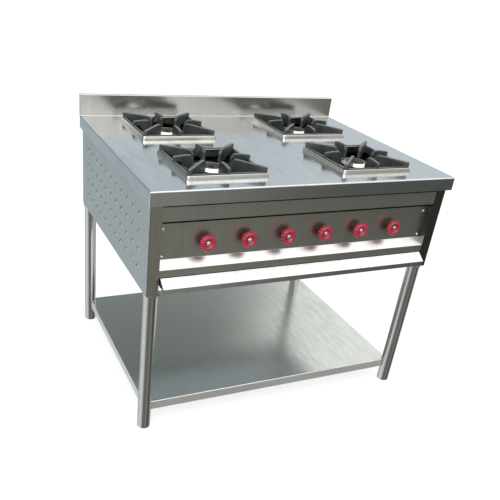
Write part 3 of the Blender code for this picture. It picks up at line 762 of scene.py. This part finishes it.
# side panels with punched vents
ventValues = {
    "rows": 4,
    "columns": 11,
    "pitchY": 0.065,
    "pitchZ": 0.0605,
    "top": 0.800,
    "firstY": -0.321,
    "circles": [  # radius, and how far it stands out, from the hole's inside to the foot of its lip
        (0.0040, -0.00064),
        (0.0040, 0.00288),
        (0.0050, 0.0032),
        (0.0080, 0.00176),
        (0.0095, 0.000384),
        (0.0115, 0.0),
    ],
    "perSide": 8,
    "sheet": 0.0014,
    "bendIn": (0.0, 0.0006, 0.002),
    "bendDown": (0.002, 0.0006, 0.0),
}


def makeSidePanel(values, side, sign):
    # each vent has a cell: circles round the hole, with a raised lip, spread out to the cell's rectangle
    low, high = nodeBox(f"side_panel_{side}")
    y = values["firstY"] + values["pitchY"] * np.arange(values["columns"])
    z = values["top"] - values["pitchZ"] * np.arange(values["rows"])[::-1]
    yEdges = np.concatenate([[low[1]], (y[1:] + y[:-1]) / 2, [high[1]]])
    zEdges = np.concatenate([[low[2]], (z[1:] + z[:-1]) / 2, [high[2]]])
    per = values["perSide"]
    t = np.arange(per) / per
    one, zero = np.ones(per), np.zeros(per)
    u = np.concatenate([t, one, 1 - t, zero])
    v = np.concatenate([zero, t, one, 1 - t])
    angle = np.arctan2(v - 0.5, u - 0.5)
    outward = sign * max(abs(low[0]), abs(high[0]))
    shapes = []
    for j, centreZ in enumerate(z):
        for i, centreY in enumerate(y):
            rings = [
                (centreY + radius * np.cos(angle), centreZ + radius * np.sin(angle), rise)
                for radius, rise in values["circles"]
            ]
            edgeY = yEdges[i] + (yEdges[i + 1] - yEdges[i]) * u
            edgeZ = zEdges[j] + (zEdges[j + 1] - zEdges[j]) * v
            rings.append((edgeY, edgeZ, 0.0))
            cell = [
                np.stack([np.full_like(ringY, outward + sign * rise), ringY, ringZ], -1)
                for ringY, ringZ, rise in rings
            ]
            shapes.append(gridShape(np.array(cell), wrapColumns=True))
    edge = yEdges[:-1, None] + np.diff(yEdges)[:, None] * np.append(t, 1.0)
    edge = np.unique(edge.round(7))
    depth = np.array([*values["bendIn"], abs(high[0] - low[0])])[:, None]
    level = low[2] + np.array([*values["bendDown"], 0.0])[:, None]
    for points, _ in shapes:
        points[np.isclose(points[:, 2], low[2], atol=1e-6), 2] = level[0, 0]
    bentEdge = np.stack(np.broadcast_arrays(outward - sign * depth, edge, level), -1)
    shape = together(*shapes, gridShape(bentEdge))
    stands = [f"side_panel_{side}"]
    piece = makePiece(f"sidePanel_{side}", shape, "side", "frame", stands, smoothAngle=50)
    turnOutwards(piece, lambda face: face.normal.x * sign)
    makeSheet(piece, values["sheet"])


for side, sign in sidesOfRange.items():
    makeSidePanel(ventValues, side, sign)
print("side panels made")

# end plates of the tray's pull, near-black as painted shadow in its open ends; the outline is in metres out
# from the tray's front and up from the floor
pullValues = {
    "end": 0.5165,
    "thick": 0.0012,
    "outline": [(0.031, 0.574), (0.031, 0.5865), (0.002, 0.6085), (0.002, 0.580)],
}


def makePullEnds(values):
    # the pull's section, drawn out to a thin plate at each end, painted dark as shadow
    front = nodeBox("control_panel")[0][1]
    section = np.array([(front - out, height) for out, height in values["outline"]])
    for side, sign in sidesOfRange.items():
        near, far = sign * values["end"], sign * (values["end"] - values["thick"])
        shape = drawnOut(section, min(near, far), max(near, far))
        makePiece(f"pullEnd_{side}", shape, "paintedShadow", "drip_tray")


makePullEnds(pullValues)

# folded front pieces
frontValues = {
    "bend": 0.0022,
    "sheet": 0.0018,
    "hem": 0.014,
    "ledgeLow": 0.6405,
    "ledgeHigh": 0.6655,
    # the painted shadow strips behind the header and under the apron
    "shadowStripThick": 0.0006,
    "shadowStripProud": 0.0008,
    "headerShadowStrip": {"low": 0.7875, "lap": 0.006, "short": 0.001},
    "apronShadowStrip": {"low": 0.8515, "lap": -0.001, "short": 0.0},
}


def makeHeader(values):
    # the rail's folded outline, thickened and drawn out along X
    low, high = nodeBox("front_header_rail")
    path = filleted([(high[1], low[2]), (low[1], low[2]), (low[1], high[2])], values["bend"])
    shape = drawnOut(thickOutline(path[::-1], values["sheet"]), low[0], high[0])
    addFlatShading(makePiece("headerRail", shape, "panel", "frame", ["front_header_rail"]))


def makeControlPanel(values):
    # the panel's folded outline with its sloping ledge, thickened and drawn out along X
    low, high = nodeBox("control_panel")
    front, ledgeLow, ledgeHigh = low[1], values["ledgeLow"], values["ledgeHigh"]
    outline = [(front + values["hem"], low[2]), (front, low[2]), (front, ledgeLow)]
    outline += [(panelFace, ledgeHigh), (panelFace, high[2])]
    path = filleted(outline, values["bend"])
    shape = drawnOut(thickOutline(path[::-1], values["sheet"]), low[0], high[0])
    piece = makePiece("controlPanel", shape, "panel", "frame", ["control_panel"])
    # the sloping ledge's faces take the lighter ledge steel, as painted highlight
    paintFaces(piece, "ledge", lambda face: ledgeLow < face.center.z < ledgeHigh and abs(face.normal.z) > 0.3)
    addFlatShading(piece)


def makeShadowStrips(values):
    # painted shadow: thin near-black strips put behind the header and under the apron, where the gap lies in
    # shade
    low, high = nodeBox("control_panel")
    headerLow, headerHigh = nodeBox("front_header_rail")
    for name, y, top in (("headerShadowStrip", panelFace, headerLow[2]), ("apronShadowStrip", low[1], headerHigh[2])):
        paintedShadow = values[name]
        proud = y - values["shadowStripProud"]
        loop = thickOutline(np.array([(proud, paintedShadow["low"]), (proud, top + paintedShadow["lap"])]), values["shadowStripThick"])
        shape = drawnOut(loop, low[0] + paintedShadow["short"], high[0] - paintedShadow["short"])
        makePiece(name, shape, "paintedShadow", "frame")


makeHeader(frontValues)
makeControlPanel(frontValues)
makeShadowStrips(frontValues)

# legs and feet
standValues = {
    "steps": 72,
    "radius": 0.0235,
    "wall": 0.002,
    "collarHigh": 0.008,
    "collarFoot": 0.0095,
    "collarBend": 0.0016,
    "chamfer": (0.0005, 0.0006),
    "plug": 0.0212,
    "footGap": 0.0003,
    "footInset": 0.0006,
    "toe": (0.002, 0.0015),
    "footBend": 0.003,
}


def makeLeg(values, place):
    # a turned tube with a rolled collar at its top
    low, high = nodeBox(f"leg_{place}")
    middle = (low + high) / 2
    collar = (high[0] - low[0]) / 2
    radius, top, bottom = values["radius"], high[2], low[2]
    collarFoot = [(collar, top - values["collarHigh"]), (radius, top - values["collarFoot"])]
    collarSide = filleted([(radius, top), (collar, top), *collarFoot], values["collarBend"])
    inner = [(radius - values["wall"], bottom), (radius - values["wall"], top)]
    across, along = values["chamfer"]
    lowEnd = [(radius, bottom + along), (radius - across, bottom)]
    profile = np.concatenate([[inner[1]], collarSide, lowEnd, [inner[0]], [inner[1]]])
    shape = turnedShape(profile, values["steps"], (*middle[:2], 0))
    makePiece(f"leg_{place}_tube", shape, "tube", "frame", [f"leg_{place}"])
    return middle, bottom


def makeFoot(values, place, middle, legBottom):
    # a turned plug with a rounded base below the tube
    plugTop = nodeBox(f"foot_{place}")[1][2]
    radius, plug = values["radius"], values["plug"]
    shoulder = legBottom - values["footGap"]
    across, along = values["toe"]
    toe = [(radius, shoulder), (radius, along), (radius - across, 0.0), (0.0, 0.0)]
    side = filleted(toe, values["footBend"], 6)
    upper = [(0.0, plugTop), (plug, plugTop), (plug, shoulder), (radius - values["footInset"], shoulder)]
    shape = turnedShape(np.concatenate([upper, side[1:]]), values["steps"], (*middle[:2], 0))
    makePiece(f"foot_{place}_plug", shape, "tube", "frame", [f"foot_{place}"])


for place in burners:
    makeFoot(standValues, place, *makeLeg(standValues, place))

# undershelf
shelfValues = {"bend": 0.003, "sheet": 0.0016, "notch": 0.0238, "arc": 10, "hem": 0.02, "bendSteps": 3}


def makeShelf(values):
    # the shelf's outline, with an arc taken out round each leg, as top, rim and turned-in hem
    low, high = nodeBox("undershelf")
    arc = values["notch"]
    corners = [
        ("front_left", low[0], low[1], -1, -1),
        ("front_right", high[0], low[1], 1, -1),
        ("rear_right", high[0], high[1], 1, 1),
        ("rear_left", low[0], high[1], -1, 1),
    ]
    outline = []
    for place, cornerX, cornerY, sx, sy in corners:
        legLow, legHigh = nodeBox(f"leg_{place}")
        centre = (legLow[:2] + legHigh[:2]) / 2
        offX = math.sqrt(max(arc**2 - (cornerX - centre[0]) ** 2, 0.0))
        offY = math.sqrt(max(arc**2 - (cornerY - centre[1]) ** 2, 0.0))
        onX = math.atan2(-sy * offX, cornerX - centre[0])  # where the side x = cornerX meets the circle
        onY = math.atan2(cornerY - centre[1], -sx * offY)  # where the side y = cornerY meets it
        inward = math.atan2(-sy, -sx)
        spread = [((a - inward + math.pi) % (2 * math.pi)) - math.pi for a in (onX, onY)]
        first, last = spread if sx * sy > 0 else spread[::-1]
        angles = inward + np.linspace(first, last, values["arc"] + 1)
        outline.append(np.stack([centre[0] + arc * np.cos(angles), centre[1] + arc * np.sin(angles)], -1))
    outline = np.concatenate(outline)
    count = len(outline)
    inner = outline + (outline.mean(axis=0) - outline) * values["hem"]
    points = np.concatenate([atLevel(inner, low[2]), atLevel(outline, low[2]), atLevel(outline, high[2])])
    faces = quadFaces(3, count, wrapColumns=True)
    faces.append(list(range(2 * count, 3 * count)))
    shape, stands = (points, faces), ["undershelf"]
    piece = makePiece("undershelfSheet", shape, "shelf", "frame", stands, smoothAngle=30)
    turnOutwards(piece, lambda face: face.normal.z * (face.center.z > high[2] - 0.001))
    # the upright rim faces take the lighter edge steel, as painted highlight
    paintFaces(piece, "edge", lambda face: abs(face.normal.z) < 0.5)
    addBevel(piece, values["bend"], values["bendSteps"])
    makeSheet(piece, values["sheet"])


makeShelf(shelfValues)
print("stand made")

# knobs with their spindles and nuts
knobValues = {
    "lobes": 13,
    "steps": 156,
    "depth": 0.09,
    "lobePower": 1.6,
    "rimPower": 1.5,
    "dish": 0.0112,
    "dishLip": 0.0012,
    "floor": 0.003,
    "bore": 0.0050,
    "boreStart": 0.004,
    "backRing": 0.012,
    "crown": (150, -70, 24),
    "smoothAngle": 60,
}
spindleValues = {
    "rod": 0.0046,
    "tip": 0.001,
    "bush": 0.0105,
    "bushBend": 0.0012,
    "bushGap": 0.0022,
    "gap": 0.0003,
    "nut": 0.0092,
    "nutCrown": 0.0080,
    "nutSetBack": 0.003,
    "nutChamfer": 0.0008,
    "nutRows": (0.05, 0.75),
    "steps": 48,
    "nutSteps": 72,
    "smoothAngle": 30,
}


def makeKnob(values, number):
    # a ring whose rim swells into lobes: radius times 1 - depth * (half of 1 - cos(lobes * angle)) ** power,
    # fading to nothing at the dish
    low, high = nodeBox(f"knob_{number}")
    centre = (low + high) / 2
    radius, mid = (high[0] - low[0]) / 2, (high[1] - low[1]) / 2
    dish, floor, bore = values["dish"], values["floor"], values["bore"]
    ring = (radius - dish) / 2
    around = np.radians(np.linspace(*values["crown"]))
    crown = np.stack([dish + ring + ring * np.cos(around), mid * np.sin(around)], -1)
    start = (bore, floor - values["boreStart"])
    inside = [start, (bore, floor), (dish - values["dishLip"], floor)]
    behind = [(radius - values["backRing"], -mid), (bore, -mid), start]
    profile = np.concatenate([inside, crown, behind])
    rimShare = np.clip((profile[:, 0] - dish) / (radius - dish), 0, 1)[:, None] ** values["rimPower"]

    def lobes(angle, row):
        wave = 0.5 - 0.5 * np.cos(values["lobes"] * angle)
        return 1 - values["depth"] * rimShare * wave ** values["lobePower"]

    shape = turnedToFront(turnedShape(profile, values["steps"], lobes=lobes), centre)
    name, body = f"knobWheel_{number}", f"knob_{number}"
    makePiece(name, shape, "red", body, [body], values["smoothAngle"])
    return centre, mid, floor


def makeSpindle(values, number, centre, mid, floor):
    # a rod with a bush behind the knob, and a six-sided nut: its radius is cos(30) / cos(angle from a flat)
    back = centre[1] - nodeBox(f"spindle_{number}")[1][1]
    rod, bush, nut, gap = values["rod"], values["bush"], values["nut"], values["gap"]
    tip, setBack = values["tip"], values["nutSetBack"]
    bushEnd = centre[1] - panelFace + values["bushGap"]
    bushSide = [(rod, -mid - gap), (bush, -mid - gap), (bush, bushEnd), (rod, bushEnd)]
    side = filleted(bushSide, values["bushBend"])
    front = [(0.0, mid - tip), (rod - tip, mid - tip), (rod, mid - 2 * tip)]
    spindle = np.concatenate([front, side, [(rod, back), (0.0, back)]])
    crown = mid - setBack
    nutProfile = [
        (rod, crown),
        (values["nutCrown"], crown),
        (nut, crown - values["nutChamfer"]),
        (nut, floor + gap),
        (rod, floor + gap),
        (rod, crown),
    ]
    firstRow, lastRow = values["nutRows"]

    def sixSides(angle, row):
        flat = math.cos(math.pi / 6) / np.cos((angle + math.pi / 6) % (math.pi / 3) - math.pi / 6)
        return np.where((row > firstRow) & (row < lastRow), flat, 1.0)

    nutShape = turnedShape(nutProfile, values["nutSteps"], lobes=sixSides)
    shape = turnedToFront(together(turnedShape(spindle, values["steps"]), nutShape), centre)
    name, body, stands = f"knobSpindle_{number}", f"knob_{number}", [f"spindle_{number}"]
    piece = makePiece(name, shape, "dark", body, stands, values["smoothAngle"])
    paintFaces(piece, "bright", lambda face: face.center.y < centre[1] - floor)


for number in range(1, 7):
    makeSpindle(spindleValues, number, *makeKnob(knobValues, number))
print("knobs made")

# burner wells
wellValues = {
    "corner": 0.010,
    "cornerShrink": 0.35,
    "cornerLeast": 0.002,
    "perSide": 12,
    "sheet": 0.0014,
    "footGap": 0.0002,
    "crestIn": 0.004,
    "mouthIn": 0.0123,
    "crestBend": 0.0022,
    "wallEnd": 0.004,
    "floorBend": 0.004,
    "floorStart": 0.001,
    "floorRun": 0.030,
    "floorFall": 0.0004,
    "hole": 0.056,
    "towardsHole": [(0.3, 0.0), (0.6, 0.0), (0.85, 0.0), (0.95, 0.0003), (1.0, 0.0016)],  # share, drop
    "smoothAngle": 50,
}


def makeWell(values, place):
    # square rings from the foot over the collar and down the wall to the floor, the last ones turning into
    # a circle: each point is (1 - share) of the square's and share of the circle's
    low, high = nodeBox(f"burner_well_{place}")
    middle = (low + high) / 2
    foot, top = (high[0] - low[0]) / 2, high[2]
    base = nodeBox("worktop")[1][2] + values["footGap"]
    crest = foot - values["crestIn"]
    mouth = crest - values["mouthIn"]
    floor = low[2] + cadSheet
    wallEnd = (mouth, floor + values["wallEnd"])
    floorEnd = (mouth - values["floorRun"], floor - values["floorFall"])
    collar = filleted([(foot, base), (crest, top), (mouth, top), wallEnd], values["crestBend"], 5)
    inside = filleted([wallEnd, (mouth - values["floorStart"], floor), floorEnd], values["floorBend"], 4)
    section = np.concatenate([collar, inside[1:]])
    shrunk = values["corner"] - (foot - section[:, 0]) * values["cornerShrink"]
    corners = np.clip(shrunk, values["cornerLeast"], None)
    rings = [
        atLevel(roundedSquare(half, corner, values["perSide"]), level)
        for (half, level), corner in zip(section, corners)
    ]
    square = rings[-1][:, :2]
    angle = np.arctan2(square[:, 1], square[:, 0])
    circle = values["hole"] * np.stack([np.cos(angle), np.sin(angle)], -1)
    for share, drop in values["towardsHole"]:
        rings.append(atLevel(square * (1 - share) + circle * share, floorEnd[1] - drop))
    shape = gridShape(np.array(rings) + np.array([*middle[:2], 0]), wrapColumns=True)
    name, stands = f"wellPressing_{place}", [f"burner_well_{place}"]
    piece = makePiece(name, shape, "well", "frame", stands, values["smoothAngle"])
    turnOutwards(piece, lambda face: face.normal.z)
    makeSheet(piece, values["sheet"])


for place in burners:
    makeWell(wellValues, place)
print("wells made")

# pan supports: cast in one piece, so the parts are melted together and smoothed
starValues = {
    "cornerReach": 0.193,
    "sideReach": 0.139,
    "inner": 0.0655,
    "fin": 0.0125,
    "across": [(-1.0, 0.94), (-0.8, 1.0), (0.8, 1.0), (1.0, 0.94)],  # place across the fin, outline's size
    "skin": 0.0005,
    "rest": 0.0006,
    "crown": 0.0042,
    "ringLow": 0.0006,
    "crest": [(0.034, 0.0035), (0.012, 0.003)],  # out from the inner end, up from the crown
    "innerDrop": 0.012,
    "hubLift": 0.003,
    "heel": 0.006,
    "finBend": 0.004,
    "mouth": 0.0163,
    "ledge": 0.018,
    "ringInner": 0.0635,
    "ringOuter": 0.0757,
    "ringThick": 0.010,
    "ringBend": 0.002,
    "ringSteps": 96,
    "voxel": 0.0016,
    "easeFactor": 0.5,
    "easeTimes": 5,
}
panFrameValues = {
    "outer": 0.1385,
    "inner": 0.1305,
    "thick": 0.0024,
    "corner": 0.006,
    "perSide": 6,
    "gap": 0.0004,
    "bevel": 0.0006,
}


def finShape(values, reach, ledge, levels, angle):
    # a fin: its side outline drawn out across its thickness, then turned to its direction
    rest, crown, ringLow = levels
    skin = values["skin"]
    hub = values["inner"] + skin
    tip = [(ledge, rest), (reach - 2 * skin, rest), (reach - skin, crown - 2 * skin)]
    crest = [(values["inner"] + out, crown + up) for out, up in values["crest"]]
    inside = [(hub, crown - values["innerDrop"]), (hub, ringLow + values["hubLift"])]
    heel = [(ledge, rest - values["heel"]), (ledge, rest)]
    outline = filleted([*tip, *crest, *inside, *heel], values["finBend"], 3)[:-1]
    middle = outline.mean(axis=0)
    count = len(outline)
    rings = []
    for across, size in values["across"]:
        shape = middle + (outline - middle) * size
        rings.append(np.column_stack([shape[:, 0], np.full(count, across * values["fin"] / 2), shape[:, 1]]))
    c, s = math.cos(angle), math.sin(angle)
    spin = np.array([[c, -s, 0], [s, c, 0], [0, 0, 1]])
    points, faces = gridShape(np.array(rings) @ spin.T, wrapColumns=True)
    faces += [list(range(count))[::-1], list(range(3 * count, 4 * count))]
    return points, faces


def castStar(values):
    # eight fins and the ring that joins them, melted into one mesh round the origin
    low, high = nodeBox("pan_support_front_left")
    wellLow, wellHigh = nodeBox("burner_well_front_left")
    ringLow = low[2] + values["ringLow"]
    levels = (wellHigh[2] + values["rest"], high[2] - values["crown"], ringLow)
    mouth = (wellHigh[0] - wellLow[0]) / 2 - values["mouth"]
    parts = []
    for count in range(8):
        reach, longer = (values["cornerReach"], math.sqrt(2)) if count % 2 else (values["sideReach"], 1.0)
        parts.append(finShape(values, reach, mouth * longer - values["ledge"], levels, count * math.pi / 4))
    inner, outer, ringTop = values["ringInner"], values["ringOuter"], ringLow + values["ringThick"]
    section = [(outer, ringLow), (outer, ringTop), (inner, ringTop), (inner, ringLow), (outer, ringLow)]
    parts.append(turnedShape(filleted(section, values["ringBend"], 2), values["ringSteps"]))
    star = inScene("star", cleanMesh("star", together(*parts)))
    melt = star.modifiers.new("melt", "REMESH")
    melt.mode = "VOXEL"
    melt.voxel_size = values["voxel"]
    ease = star.modifiers.new("ease", "SMOOTH")
    ease.factor = values["easeFactor"]
    ease.iterations = values["easeTimes"]
    bpy.context.view_layer.update()
    cast = bpy.data.meshes.new_from_object(star.evaluated_get(bpy.context.evaluated_depsgraph_get()))
    bpy.data.objects.remove(star, do_unlink=True)
    cast.shade_smooth()
    cast.materials.clear()
    cast.materials.append(paints["iron"])
    return cast


def makePanFrame(values, place, centre, low):
    # the flat square frame on the collar: a thin rounded square, bevelled
    inner, outer, high = values["inner"], values["outer"], low + values["thick"]
    loops = [
        atLevel(roundedSquare(half, values["corner"], values["perSide"]) + centre[:2], level)
        for half, level in ((inner, low), (outer, low), (outer, high), (inner, high))
    ]
    shape = gridShape(np.array(loops), wrapRows=True, wrapColumns=True)
    piece = makePiece(f"panFrame_{place}", shape, "iron", f"pan_support_{place}")
    addBevel(piece, values["bevel"], 1)


star = castStar(starValues)
frameLow = nodeBox("burner_well_front_left")[1][2] + panFrameValues["gap"]
for place in burners:
    low, high = nodeBox(f"pan_support_{place}")
    centre = (low + high) / 2
    copy = star.copy()
    copy.transform(Matrix.Translation((*centre[:2], 0)))
    addPiece(f"panStar_{place}", copy, f"pan_support_{place}", [f"pan_support_{place}"])
    makePanFrame(panFrameValues, place, centre, frameLow)
print("pan supports made")

# burner caps: a slotted skirt under a bright chamfered rim, round a dark dished middle
capValues = {
    "slots": 28,
    "steps": 224,
    "depth": 0.045,
    "slotWidth": 0.6,
    "slotEdge": 0.003,
    "bore": 0.010,
    "chamferWide": 0.012,
    "chamferDeep": 0.009,
    "dish": 0.0035,
    "dishRun": 0.008,
    "bend": 0.002,
    "rimEdge": 0.001,
    "smoothAngle": 40,
}


def makeCap(values, place):
    # a turned cap whose skirt has slots: radius times 1 - depth where the wave of the angle is high
    low, high = nodeBox(f"burner_cap_{place}")
    centre = (low + high) / 2
    radius, base, top = (high[0] - low[0]) / 2, low[2], high[2]
    brow, shoulder = radius - values["chamferWide"], top - values["chamferDeep"]
    bore, dish = values["bore"], top - values["dish"]
    upper = [(bore, dish), (brow - values["dishRun"], dish), (brow, top), (radius, shoulder)]
    outer = filleted([*upper, (radius, base), (bore, base)], values["bend"], 4)
    profile = np.concatenate([outer, outer[:1]])
    edge = values["slotEdge"]
    onSkirt = ((profile[:, 0] > radius - edge) & (profile[:, 1] < shoulder - edge))[:, None]

    def slots(angle, row):
        wave = 0.5 + 0.5 * np.cos(values["slots"] * angle)
        return 1 - values["depth"] * onSkirt * (wave > values["slotWidth"])

    def onChamfer(face):
        out = math.hypot(face.center.x - centre[0], face.center.y - centre[1])
        return out > brow - values["rimEdge"] and face.center.z > shoulder - values["rimEdge"]

    shape = turnedShape(profile, values["steps"], (*centre[:2], 0), lobes=slots)
    name, body = f"burnerCap_{place}_slotted", f"burner_cap_{place}"
    piece = makePiece(name, shape, "ironRough", body, [body], values["smoothAngle"])
    paintFaces(piece, "rim", onChamfer)


for place in burners:
    makeCap(capValues, place)

# panel screws
screwValues = {
    "radius": 0.0052,
    "height": 0.0026,
    "washer": 1.35,
    "washerThick": 0.0008,
    "proud": 0.001,
    "x": 0.511,
    "heights": {"upper": 0.768, "lower": 0.6745},
    "steps": 32,
}


def makeScrews(values):
    # a domed head, radius * cos(angle) across and height * sin(angle) up, with a washer, turned about Z
    angle = np.linspace(np.pi / 2, 0, 8)
    dome = np.stack([values["radius"] * np.cos(angle), values["height"] * np.sin(angle)], -1)
    washer, under = values["radius"] * values["washer"], -values["washerThick"]
    profile = np.concatenate([dome, [(washer, 0.0), (washer, under), (0.0, under)]])
    for side, sign in sidesOfRange.items():
        for level, z in values["heights"].items():
            place = (sign * values["x"], panelFace - values["proud"], z)
            shape = turnedToFront(turnedShape(profile, values["steps"]), place)
            makePiece(f"panelScrew_{level}_{side}", shape, "bright", "frame")


makeScrews(screwValues)
print("caps and screws made")

# finishes for the solids that keep their own shape
carried = {
    "front_post_left": "post",
    # the right post takes the darker copy of the post steel, as painted shade
    "front_post_right": "postPaintedShade",
    "back_panel": "side",
    "drip_tray": "tray",
    "tray_runner_left": "side",
    "tray_runner_right": "side",
    "gas_manifold": "pipe",
    "inlet_union": "brass",
    "burner_rail_front": "pipe",
    "burner_rail_rear": "pipe",
    **{f"valve_{number}": "brass" for number in range(1, 7)},
    **{f"burner_body_{place}": "ironRough" for place in burners},
}
for name, paint in carried.items():
    slots = nodes[name].material_slots
    if not slots:
        nodes[name].data.materials.append(paints[paint])
    for slot in nodes[name].material_slots:
        slot.material = paints[paint]
print("carried solids finished")
